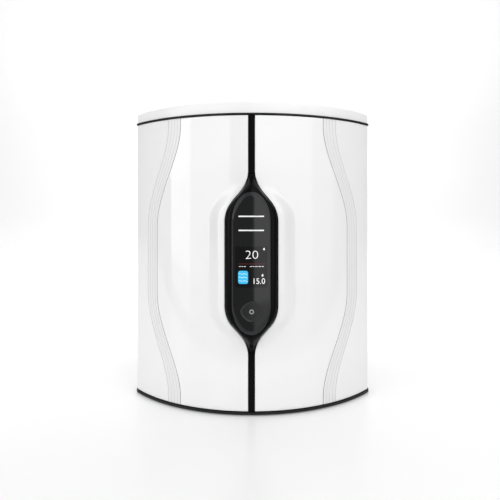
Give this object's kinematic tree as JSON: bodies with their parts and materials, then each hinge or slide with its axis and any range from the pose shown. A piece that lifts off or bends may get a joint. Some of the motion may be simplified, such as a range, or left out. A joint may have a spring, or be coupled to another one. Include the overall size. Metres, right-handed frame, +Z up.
{
  "type": "laboratory water purification system",
  "caption": "Benchtop water purification cabinet with two bowed doors, a centre strip and display pod, bayonet cartridges behind the doors, and push-fit tube ports at the rear.",
  "frame": {"origin": "on the floor under the middle of the bounding box", "axes": "+Z up; the bowed front with the pod faces -Y; +X is to the right seen from the front"},
  "size_m": [0.37, 0.34, 0.4458],
  "materials": {
    "door_white": "gloss",
    "cap_white": "satin",
    "panel_white": "satin",
    "plate_black": "satin",
    "strip_black": "gloss",
    "lens_black": "gloss",
    "button_black": "gloss",
    "light_white": "satin",
    "display_glass": "gloss",
    "circuit_green": "satin",
    "rubber_black": "matte",
    "bay_metal": "satin",
    "spine_alu": "satin",
    "steel": "brushed",
    "bush_ivory": "satin",
    "manifold_grey": "satin",
    "bottle_white": "satin",
    "head_blue": "satin",
    "vessel_white": "satin",
    "fitting_dark": "satin",
    "clip_grey": "satin",
    "lamp_glass": "clear",
    "pump_grey": "satin",
    "motor_metal": "satin",
    "impeller_white": "satin",
    "tube_plastic": "satin",
    "collet_grey": "satin",
    "regulator_metal": "satin"
  },
  "bodies": {
    "cabinet": {"base_tray": "plate_black", "rubber_feet": "rubber_black", "left_side_panel": "panel_white", "right_side_panel": "panel_white", "rear_panel": "panel_white", "bulkhead": "bay_metal", "centre_spine": "spine_alu", "top_deck": "plate_black", "top_cap": "cap_white", "centre_strip": "strip_black", "pod_bezel": "strip_black", "pod_lens": "lens_black", "light_bars": "light_white", "display_module": "display_glass", "control_board": "circuit_green", "hinge_pins": "steel", "door_magnets": "steel", "left_manifold": "manifold_grey", "right_manifold": "manifold_grey", "membrane_vessel": "vessel_white", "membrane_end_caps": "fitting_dark", "lamp_chamber": "steel", "lamp": "lamp_glass", "vessel_clips": "clip_grey", "pump_volute": "pump_grey", "pump_motor": "motor_metal", "pump_cradle": "rubber_black", "pressure_regulator": "regulator_metal", "inlet_solenoid": "fitting_dark", "drain_solenoid": "fitting_dark", "main_board": "circuit_green", "board_standoffs": "steel", "internal_tubes": "tube_plastic", "water_sensors": "fitting_dark", "connection_block": "fitting_dark", "power_inlet": "fitting_dark", "data_socket": "steel"},
    "left_door": {"left_door_shell": "door_white", "left_hinge_rail": "steel", "left_hinge_bushes": "bush_ivory", "left_striker_plates": "steel"},
    "right_door": {"right_door_shell": "door_white", "right_hinge_rail": "steel", "right_hinge_bushes": "bush_ivory", "right_striker_plates": "steel"},
    "push_button": {"control_button": "button_black"},
    "impeller": {"pump_impeller": "impeller_white", "pump_shaft": "steel"},
    "cartridge_1": {"cartridge_1_bottle": "bottle_white", "cartridge_1_head": "head_blue"},
    "release_collet_1": {"collet_1": "collet_grey"},
    "cartridge_2": {"cartridge_2_bottle": "bottle_white", "cartridge_2_head": "head_blue"},
    "release_collet_2": {"collet_2": "collet_grey"},
    "cartridge_3": {"cartridge_3_bottle": "bottle_white", "cartridge_3_head": "head_blue"},
    "release_collet_3": {"collet_3": "collet_grey"},
    "cartridge_4": {"cartridge_4_bottle": "bottle_white", "cartridge_4_head": "head_blue"},
    "release_collet_4": {"collet_4": "collet_grey"}
  },
  "joints": [
    {"name": "left_door_hinge", "type": "hinge", "parent": "cabinet", "child": "left_door", "pos_m": [-0.1745, -0.06336, 0.21565], "axis": [0, 0, -1], "range_deg": [0, 100]},
    {"name": "right_door_hinge", "type": "hinge", "parent": "cabinet", "child": "right_door", "pos_m": [0.1745, -0.06336, 0.21565], "axis": [0, 0, 1], "range_deg": [0, 100]},
    {"name": "cartridge_1_twist", "type": "hinge", "parent": "cabinet", "child": "cartridge_1", "pos_m": [-0.1292, -0.0486, 0.3445], "axis": [0, 0, -1], "range_deg": [0, 90]},
    {"name": "cartridge_2_twist", "type": "hinge", "parent": "cabinet", "child": "cartridge_2", "pos_m": [-0.06, -0.0902, 0.3445], "axis": [0, 0, -1], "range_deg": [0, 90]},
    {"name": "cartridge_3_twist", "type": "hinge", "parent": "cabinet", "child": "cartridge_3", "pos_m": [0.06, -0.0902, 0.3445], "axis": [0, 0, -1], "range_deg": [0, 90]},
    {"name": "cartridge_4_twist", "type": "hinge", "parent": "cabinet", "child": "cartridge_4", "pos_m": [0.1292, -0.0486, 0.3445], "axis": [0, 0, -1], "range_deg": [0, 90]},
    {"name": "button_press", "type": "slide", "parent": "cabinet", "child": "push_button", "axis": [0, 1, 0], "range_m": [0, 0.001], "stiffness_N_per_m": 800, "springref_m": -0.001},
    {"name": "impeller_spin", "type": "hinge", "parent": "cabinet", "child": "impeller", "pos_m": [0.075, 0.0564, 0.04], "axis": [0, 0, 1], "continuous": true},
    {"name": "collet_1_release", "type": "slide", "parent": "cabinet", "child": "release_collet_1", "axis": [0, -1, 0], "range_m": [0, 0.001]},
    {"name": "collet_2_release", "type": "slide", "parent": "cabinet", "child": "release_collet_2", "axis": [0, -1, 0], "range_m": [0, 0.001]},
    {"name": "collet_3_release", "type": "slide", "parent": "cabinet", "child": "release_collet_3", "axis": [0, -1, 0], "range_m": [0, 0.001]},
    {"name": "collet_4_release", "type": "slide", "parent": "cabinet", "child": "release_collet_4", "axis": [0, -1, 0], "range_m": [0, 0.001]}
  ]
}
